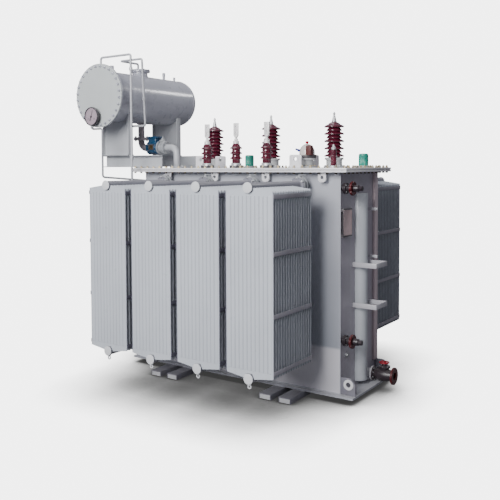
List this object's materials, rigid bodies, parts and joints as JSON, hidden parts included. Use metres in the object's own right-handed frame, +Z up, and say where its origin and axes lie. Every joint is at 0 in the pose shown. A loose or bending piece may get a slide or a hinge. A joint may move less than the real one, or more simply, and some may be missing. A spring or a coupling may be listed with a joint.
{
  "type": "power transformer",
  "caption": "Oil-filled power transformer: grey tank on skids with banks of plate radiators, an overhung oil conservator, wine-red porcelain bushings, a gas relay and a drain valve.",
  "frame": {"origin": "on the ground, in the plane of the skids' undersides, under the middle of the whole object's box", "axes": "+X along the tank to the end with the drain valve, +Y to the side with the tall bushings, +Z up"},
  "size_m": [3.7119, 2.964, 3.6595],
  "materials": {
    "tank_grey": "semi-gloss grey enamel on welded steel plate",
    "radiator_grey": "semi-gloss light grey enamel on pressed steel panels",
    "conservator_grey": "semi-gloss grey enamel on rolled steel",
    "pipe_grey": "grey enamel on steel pipe",
    "skid_grey": "dark grey enamel on channel steel",
    "porcelain_red": "glossy dark wine-red glaze",
    "terminal_metal": "pale cast and machined metal",
    "cast_dark": "dark painted casting",
    "valve_red": "red enamel",
    "relay_blue": "blue enamel",
    "relief_pale": "pale enamel with a dark clamping ring",
    "cap_green": "green enamel",
    "gasket_black": "oil-proof rubber cord",
    "gauge_black": "black case with a pale dial",
    "jar_glass": "clear drying jar between metal caps",
    "board_grey": "bare board in grey enamel"
  },
  "bodies": {
    "transformer": {"skids": "skid_grey", "base_plate": "tank_grey", "tank_front_wall": "tank_grey", "tank_back_wall": "tank_grey", "tank_left_wall": "tank_grey", "tank_right_wall": "tank_grey", "tank_flange": "tank_grey", "cover_gasket": "gasket_black", "tank_cover": "tank_grey", "end_stiffeners": "tank_grey", "tow_lugs": "tank_grey", "lifting_lugs": "tank_grey", "radiator_straps": "radiator_grey", "radiator_headers": "radiator_grey", "radiator_valves": "cast_dark", "hv_turrets": "terminal_metal", "hv_bushings": "porcelain_red", "hv_terminals": "terminal_metal", "lv_flanges": "cast_dark", "lv_bushings": "porcelain_red", "lv_terminals": "terminal_metal", "neutral_bushing": "porcelain_red", "relief_riser": "terminal_metal", "relief_valve": "relief_pale", "thermometer_pockets": "cap_green", "conservator_shell": "conservator_grey", "conservator_flange": "conservator_grey", "conservator_end_cover": "conservator_grey", "conservator_dished_end": "conservator_grey", "level_gauge": "gauge_black", "conservator_fittings": "conservator_grey", "conservator_frame": "tank_grey", "conservator_legs": "tank_grey", "breather_pipe": "pipe_grey", "breather_jar": "jar_glass", "vent_pipe": "pipe_grey", "gauge_conduit": "pipe_grey", "oil_outlet": "pipe_grey", "gas_relay": "relay_blue", "relay_gate_valve": "cast_dark", "oil_inlet": "pipe_grey", "oil_valves": "valve_red", "end_brackets": "tank_grey", "nameplate_board": "board_grey", "drain_valve": "cast_dark", "front_radiator_1": "radiator_grey", "front_radiator_2": "radiator_grey", "front_radiator_3": "radiator_grey", "front_radiator_4": "radiator_grey", "back_radiator_1": "radiator_grey", "back_radiator_2": "radiator_grey", "back_radiator_3": "radiator_grey", "back_radiator_4": "radiator_grey"},
    "drain_wheel": {"drain_handwheel": "valve_red"}
  },
  "joints": [
    {"name": "drain_wheel_turn", "type": "hinge", "parent": "transformer", "child": "drain_wheel", "pos_m": [1.739, 0.18, 0.289], "axis": [0, 0, 1], "range_deg": [0, 2970]}
  ]
}
